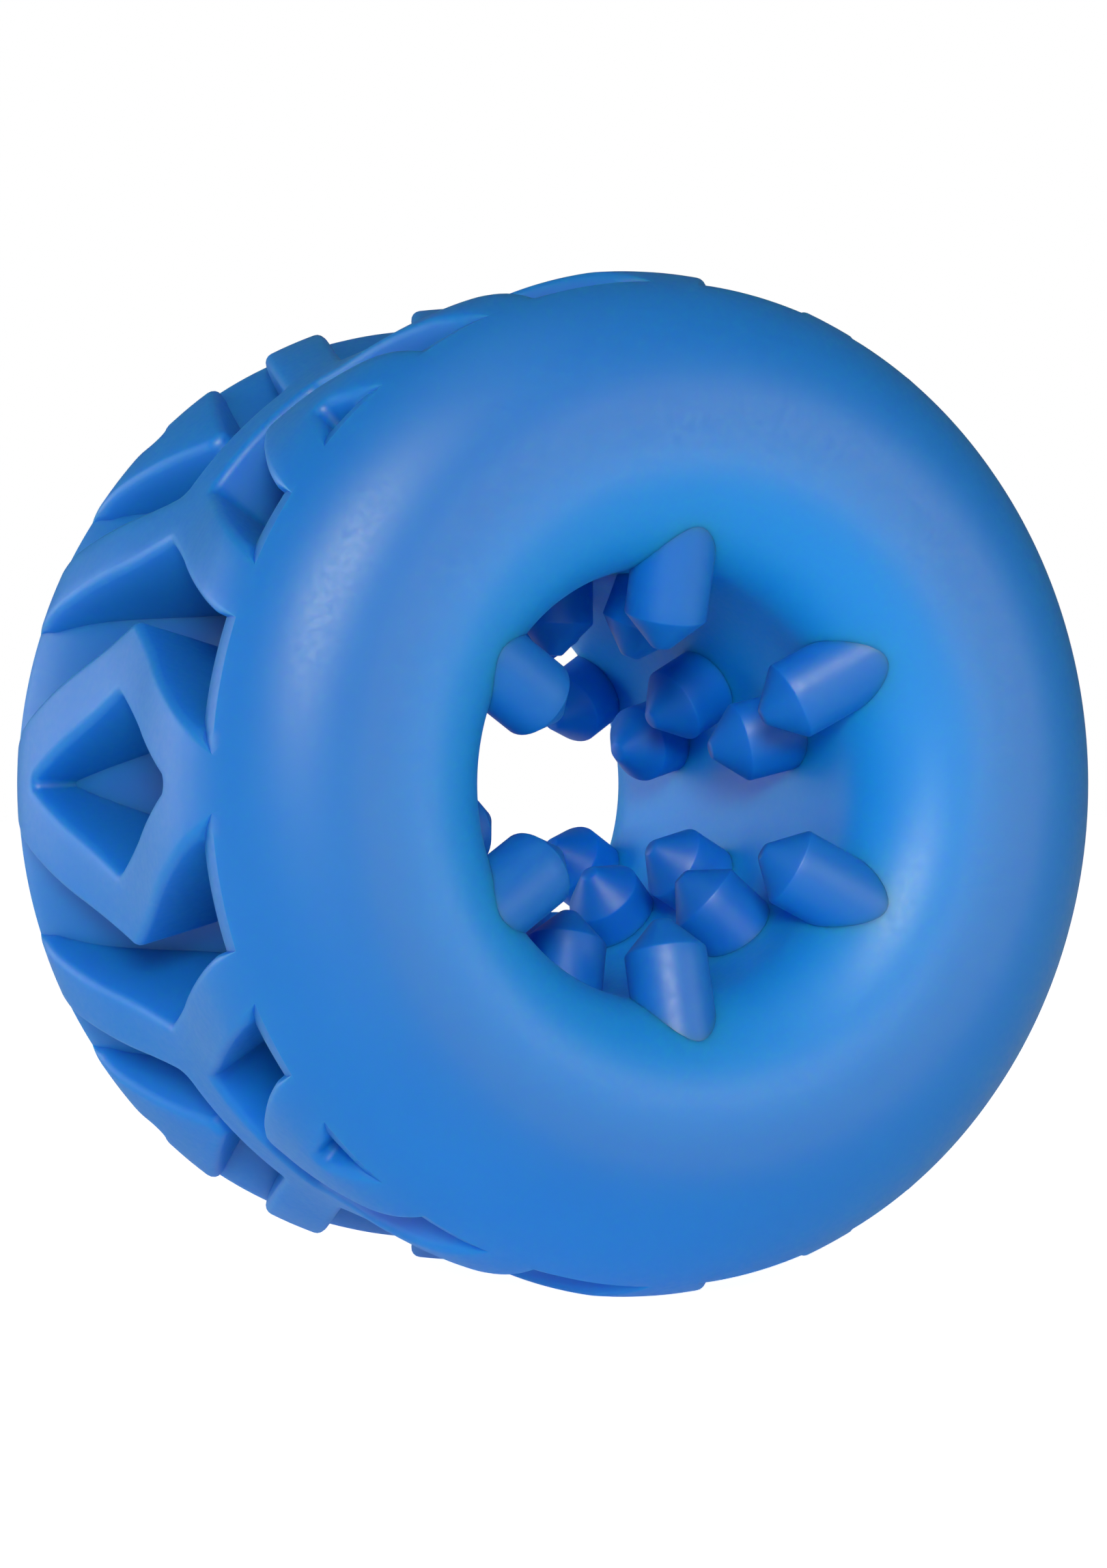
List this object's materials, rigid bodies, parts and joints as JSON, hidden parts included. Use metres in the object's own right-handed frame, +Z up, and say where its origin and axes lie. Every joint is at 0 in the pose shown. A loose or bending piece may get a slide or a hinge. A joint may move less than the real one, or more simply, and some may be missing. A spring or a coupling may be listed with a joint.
{
  "type": "squeeze ring stress toy",
  "caption": "Soft blue elastomer squeeze ring with two rounded lobes, a waist with raised diamond and forked ribs, and a through bore lined with flexible nubs.",
  "frame": {"origin": "centre of the ring, on the bore's axis and midway between the lobes", "axes": "+Y along the bore from the front lobe to the rear lobe, +Z up, the ring standing on its tread"},
  "size_m": [0.064, 0.0414, 0.064],
  "materials": {
    "blue_elastomer_ring": "satin translucent moulded TPE",
    "blue_elastomer_ribs": "satin translucent moulded TPE",
    "blue_elastomer_nubs": "satin translucent moulded TPE"
  },
  "bodies": {
    "rear_lobe": {"rear_lobe": "blue_elastomer_ring", "rear_chevron_rib_1": "blue_elastomer_ribs", "rear_chevron_rib_2": "blue_elastomer_ribs", "rear_chevron_rib_3": "blue_elastomer_ribs", "rear_chevron_rib_4": "blue_elastomer_ribs"},
    "front_lobe": {"front_lobe": "blue_elastomer_ring", "front_chevron_rib_1": "blue_elastomer_ribs", "front_chevron_rib_2": "blue_elastomer_ribs", "front_chevron_rib_3": "blue_elastomer_ribs", "front_chevron_rib_4": "blue_elastomer_ribs"},
    "core_front": {"core_front": "blue_elastomer_ring"},
    "core_middle": {"core_middle": "blue_elastomer_ring", "diamond_rib_1": "blue_elastomer_ribs", "diamond_rib_2": "blue_elastomer_ribs", "diamond_rib_3": "blue_elastomer_ribs", "diamond_rib_4": "blue_elastomer_ribs", "link_rib_1": "blue_elastomer_ribs", "link_rib_2": "blue_elastomer_ribs", "link_rib_3": "blue_elastomer_ribs", "link_rib_4": "blue_elastomer_ribs"},
    "core_rear": {"core_rear": "blue_elastomer_ring"},
    "nub_front_1": {"nub_front_1": "blue_elastomer_nubs"},
    "nub_front_2": {"nub_front_2": "blue_elastomer_nubs"},
    "nub_front_3": {"nub_front_3": "blue_elastomer_nubs"},
    "nub_front_4": {"nub_front_4": "blue_elastomer_nubs"},
    "nub_front_5": {"nub_front_5": "blue_elastomer_nubs"},
    "nub_front_6": {"nub_front_6": "blue_elastomer_nubs"},
    "nub_front_inner_1": {"nub_front_inner_1": "blue_elastomer_nubs"},
    "nub_front_inner_2": {"nub_front_inner_2": "blue_elastomer_nubs"},
    "nub_front_inner_3": {"nub_front_inner_3": "blue_elastomer_nubs"},
    "nub_front_inner_4": {"nub_front_inner_4": "blue_elastomer_nubs"},
    "nub_front_inner_5": {"nub_front_inner_5": "blue_elastomer_nubs"},
    "nub_front_inner_6": {"nub_front_inner_6": "blue_elastomer_nubs"},
    "nub_middle_1": {"nub_middle_1": "blue_elastomer_nubs"},
    "nub_middle_2": {"nub_middle_2": "blue_elastomer_nubs"},
    "nub_middle_3": {"nub_middle_3": "blue_elastomer_nubs"},
    "nub_middle_4": {"nub_middle_4": "blue_elastomer_nubs"},
    "nub_middle_5": {"nub_middle_5": "blue_elastomer_nubs"},
    "nub_middle_6": {"nub_middle_6": "blue_elastomer_nubs"},
    "nub_rear_inner_1": {"nub_rear_inner_1": "blue_elastomer_nubs"},
    "nub_rear_inner_2": {"nub_rear_inner_2": "blue_elastomer_nubs"},
    "nub_rear_inner_3": {"nub_rear_inner_3": "blue_elastomer_nubs"},
    "nub_rear_inner_4": {"nub_rear_inner_4": "blue_elastomer_nubs"},
    "nub_rear_inner_5": {"nub_rear_inner_5": "blue_elastomer_nubs"},
    "nub_rear_inner_6": {"nub_rear_inner_6": "blue_elastomer_nubs"},
    "nub_rear_1": {"nub_rear_1": "blue_elastomer_nubs"},
    "nub_rear_2": {"nub_rear_2": "blue_elastomer_nubs"},
    "nub_rear_3": {"nub_rear_3": "blue_elastomer_nubs"},
    "nub_rear_4": {"nub_rear_4": "blue_elastomer_nubs"},
    "nub_rear_5": {"nub_rear_5": "blue_elastomer_nubs"},
    "nub_rear_6": {"nub_rear_6": "blue_elastomer_nubs"}
  },
  "joints": [
    {"name": "squeeze", "type": "slide", "parent": "rear_lobe", "child": "front_lobe", "axis": [0, 1, 0], "range_m": [0, 0.0045], "stiffness_N_per_m": 4000, "deforming": ["core_front", "core_middle", "core_rear", "diamond_rib_1", "diamond_rib_2", "diamond_rib_3", "diamond_rib_4", "link_rib_1", "link_rib_2", "link_rib_3", "link_rib_4"]},
    {"name": "core_front_squeeze", "type": "slide", "parent": "rear_lobe", "child": "core_front", "axis": [0, 1, 0], "range_m": [0, 0.0045]},
    {"name": "core_middle_squeeze", "type": "slide", "parent": "rear_lobe", "child": "core_middle", "axis": [0, 1, 0], "range_m": [0, 0.0045]},
    {"name": "core_rear_squeeze", "type": "slide", "parent": "rear_lobe", "child": "core_rear", "axis": [0, 1, 0], "range_m": [0, 0.0045]},
    {"name": "nub_front_1_flex", "type": "hinge", "parent": "front_lobe", "child": "nub_front_1", "pos_m": [0.01042, -0.01525, 0.00602], "axis": [0.5, 0, -0.866], "range_deg": [-20, 20], "stiffness_Nm_per_rad": 0.01},
    {"name": "nub_front_2_flex", "type": "hinge", "parent": "front_lobe", "child": "nub_front_2", "pos_m": [0, -0.01525, 0.01203], "axis": [1, 0, 0], "range_deg": [-20, 20]},
    {"name": "nub_front_3_flex", "type": "hinge", "parent": "front_lobe", "child": "nub_front_3", "pos_m": [-0.01042, -0.01525, 0.00602], "axis": [0.5, 0, 0.866], "range_deg": [-20, 20]},
    {"name": "nub_front_4_flex", "type": "hinge", "parent": "front_lobe", "child": "nub_front_4", "pos_m": [-0.01042, -0.01525, -0.00602], "axis": [-0.5, 0, 0.866], "range_deg": [-20, 20]},
    {"name": "nub_front_5_flex", "type": "hinge", "parent": "front_lobe", "child": "nub_front_5", "pos_m": [0, -0.01525, -0.01203], "axis": [-1, 0, 0], "range_deg": [-20, 20]},
    {"name": "nub_front_6_flex", "type": "hinge", "parent": "front_lobe", "child": "nub_front_6", "pos_m": [0.01042, -0.01525, -0.00602], "axis": [-0.5, 0, -0.866], "range_deg": [-20, 20]},
    {"name": "nub_front_inner_1_flex", "type": "hinge", "parent": "core_front", "child": "nub_front_inner_1", "pos_m": [0.01138, -0.00719, 0.00305], "axis": [0.2588, 0, -0.9659], "range_deg": [-20, 20], "stiffness_Nm_per_rad": 0.01},
    {"name": "nub_front_inner_2_flex", "type": "hinge", "parent": "core_front", "child": "nub_front_inner_2", "pos_m": [0.00305, -0.00719, 0.01138], "axis": [0.9659, 0, -0.2588], "range_deg": [-20, 20]},
    {"name": "nub_front_inner_3_flex", "type": "hinge", "parent": "core_front", "child": "nub_front_inner_3", "pos_m": [-0.00833, -0.00719, 0.00833], "axis": [0.7071, 0, 0.7071], "range_deg": [-20, 20]},
    {"name": "nub_front_inner_4_flex", "type": "hinge", "parent": "core_front", "child": "nub_front_inner_4", "pos_m": [-0.01138, -0.00719, -0.00305], "axis": [-0.2588, 0, 0.9659], "range_deg": [-20, 20]},
    {"name": "nub_front_inner_5_flex", "type": "hinge", "parent": "core_front", "child": "nub_front_inner_5", "pos_m": [-0.00305, -0.00719, -0.01138], "axis": [-0.9659, 0, 0.2588], "range_deg": [-20, 20]},
    {"name": "nub_front_inner_6_flex", "type": "hinge", "parent": "core_front", "child": "nub_front_inner_6", "pos_m": [0.00833, -0.00719, -0.00833], "axis": [-0.7071, 0, -0.7071], "range_deg": [-20, 20]},
    {"name": "nub_middle_1_flex", "type": "hinge", "parent": "core_middle", "child": "nub_middle_1", "pos_m": [0.01015, 0, 0.00586], "axis": [0.5, 0, -0.866], "range_deg": [-20, 20], "stiffness_Nm_per_rad": 0.01},
    {"name": "nub_middle_2_flex", "type": "hinge", "parent": "core_middle", "child": "nub_middle_2", "pos_m": [0, 0, 0.01172], "axis": [1, 0, 0], "range_deg": [-20, 20]},
    {"name": "nub_middle_3_flex", "type": "hinge", "parent": "core_middle", "child": "nub_middle_3", "pos_m": [-0.01015, 0, 0.00586], "axis": [0.5, 0, 0.866], "range_deg": [-20, 20]},
    {"name": "nub_middle_4_flex", "type": "hinge", "parent": "core_middle", "child": "nub_middle_4", "pos_m": [-0.01015, 0, -0.00586], "axis": [-0.5, 0, 0.866], "range_deg": [-20, 20]},
    {"name": "nub_middle_5_flex", "type": "hinge", "parent": "core_middle", "child": "nub_middle_5", "pos_m": [0, 0, -0.01172], "axis": [-1, 0, 0], "range_deg": [-20, 20]},
    {"name": "nub_middle_6_flex", "type": "hinge", "parent": "core_middle", "child": "nub_middle_6", "pos_m": [0.01015, 0, -0.00586], "axis": [-0.5, 0, -0.866], "range_deg": [-20, 20]},
    {"name": "nub_rear_inner_1_flex", "type": "hinge", "parent": "core_rear", "child": "nub_rear_inner_1", "pos_m": [0.01138, 0.00719, 0.00305], "axis": [0.2588, 0, -0.9659], "range_deg": [-20, 20], "stiffness_Nm_per_rad": 0.01},
    {"name": "nub_rear_inner_2_flex", "type": "hinge", "parent": "core_rear", "child": "nub_rear_inner_2", "pos_m": [0.00305, 0.00719, 0.01138], "axis": [0.9659, 0, -0.2588], "range_deg": [-20, 20]},
    {"name": "nub_rear_inner_3_flex", "type": "hinge", "parent": "core_rear", "child": "nub_rear_inner_3", "pos_m": [-0.00833, 0.00719, 0.00833], "axis": [0.7071, 0, 0.7071], "range_deg": [-20, 20]},
    {"name": "nub_rear_inner_4_flex", "type": "hinge", "parent": "core_rear", "child": "nub_rear_inner_4", "pos_m": [-0.01138, 0.00719, -0.00305], "axis": [-0.2588, 0, 0.9659], "range_deg": [-20, 20]},
    {"name": "nub_rear_inner_5_flex", "type": "hinge", "parent": "core_rear", "child": "nub_rear_inner_5", "pos_m": [-0.00305, 0.00719, -0.01138], "axis": [-0.9659, 0, 0.2588], "range_deg": [-20, 20]},
    {"name": "nub_rear_inner_6_flex", "type": "hinge", "parent": "core_rear", "child": "nub_rear_inner_6", "pos_m": [0.00833, 0.00719, -0.00833], "axis": [-0.7071, 0, -0.7071], "range_deg": [-20, 20]},
    {"name": "nub_rear_1_flex", "type": "hinge", "parent": "rear_lobe", "child": "nub_rear_1", "pos_m": [0.01042, 0.01525, 0.00602], "axis": [0.5, 0, -0.866], "range_deg": [-20, 20], "stiffness_Nm_per_rad": 0.01},
    {"name": "nub_rear_2_flex", "type": "hinge", "parent": "rear_lobe", "child": "nub_rear_2", "pos_m": [0, 0.01525, 0.01203], "axis": [1, 0, 0], "range_deg": [-20, 20]},
    {"name": "nub_rear_3_flex", "type": "hinge", "parent": "rear_lobe", "child": "nub_rear_3", "pos_m": [-0.01042, 0.01525, 0.00602], "axis": [0.5, 0, 0.866], "range_deg": [-20, 20]},
    {"name": "nub_rear_4_flex", "type": "hinge", "parent": "rear_lobe", "child": "nub_rear_4", "pos_m": [-0.01042, 0.01525, -0.00602], "axis": [-0.5, 0, 0.866], "range_deg": [-20, 20]},
    {"name": "nub_rear_5_flex", "type": "hinge", "parent": "rear_lobe", "child": "nub_rear_5", "pos_m": [0, 0.01525, -0.01203], "axis": [-1, 0, 0], "range_deg": [-20, 20]},
    {"name": "nub_rear_6_flex", "type": "hinge", "parent": "rear_lobe", "child": "nub_rear_6", "pos_m": [0.01042, 0.01525, -0.00602], "axis": [-0.5, 0, -0.866], "range_deg": [-20, 20]}
  ],
  "couplings": [
    {"joint": "core_front_squeeze", "follows": "squeeze", "ratio": 0.8327},
    {"joint": "core_middle_squeeze", "follows": "squeeze", "ratio": 0.5},
    {"joint": "core_rear_squeeze", "follows": "squeeze", "ratio": 0.1673},
    {"joint": "nub_front_2_flex", "follows": "nub_front_1_flex", "ratio": 1},
    {"joint": "nub_front_3_flex", "follows": "nub_front_1_flex", "ratio": 1},
    {"joint": "nub_front_4_flex", "follows": "nub_front_1_flex", "ratio": 1},
    {"joint": "nub_front_5_flex", "follows": "nub_front_1_flex", "ratio": 1},
    {"joint": "nub_front_6_flex", "follows": "nub_front_1_flex", "ratio": 1},
    {"joint": "nub_front_inner_2_flex", "follows": "nub_front_inner_1_flex", "ratio": 1},
    {"joint": "nub_front_inner_3_flex", "follows": "nub_front_inner_1_flex", "ratio": 1},
    {"joint": "nub_front_inner_4_flex", "follows": "nub_front_inner_1_flex", "ratio": 1},
    {"joint": "nub_front_inner_5_flex", "follows": "nub_front_inner_1_flex", "ratio": 1},
    {"joint": "nub_front_inner_6_flex", "follows": "nub_front_inner_1_flex", "ratio": 1},
    {"joint": "nub_middle_2_flex", "follows": "nub_middle_1_flex", "ratio": 1},
    {"joint": "nub_middle_3_flex", "follows": "nub_middle_1_flex", "ratio": 1},
    {"joint": "nub_middle_4_flex", "follows": "nub_middle_1_flex", "ratio": 1},
    {"joint": "nub_middle_5_flex", "follows": "nub_middle_1_flex", "ratio": 1},
    {"joint": "nub_middle_6_flex", "follows": "nub_middle_1_flex", "ratio": 1},
    {"joint": "nub_rear_inner_2_flex", "follows": "nub_rear_inner_1_flex", "ratio": 1},
    {"joint": "nub_rear_inner_3_flex", "follows": "nub_rear_inner_1_flex", "ratio": 1},
    {"joint": "nub_rear_inner_4_flex", "follows": "nub_rear_inner_1_flex", "ratio": 1},
    {"joint": "nub_rear_inner_5_flex", "follows": "nub_rear_inner_1_flex", "ratio": 1},
    {"joint": "nub_rear_inner_6_flex", "follows": "nub_rear_inner_1_flex", "ratio": 1},
    {"joint": "nub_rear_2_flex", "follows": "nub_rear_1_flex", "ratio": 1},
    {"joint": "nub_rear_3_flex", "follows": "nub_rear_1_flex", "ratio": 1},
    {"joint": "nub_rear_4_flex", "follows": "nub_rear_1_flex", "ratio": 1},
    {"joint": "nub_rear_5_flex", "follows": "nub_rear_1_flex", "ratio": 1},
    {"joint": "nub_rear_6_flex", "follows": "nub_rear_1_flex", "ratio": 1}
  ]
}
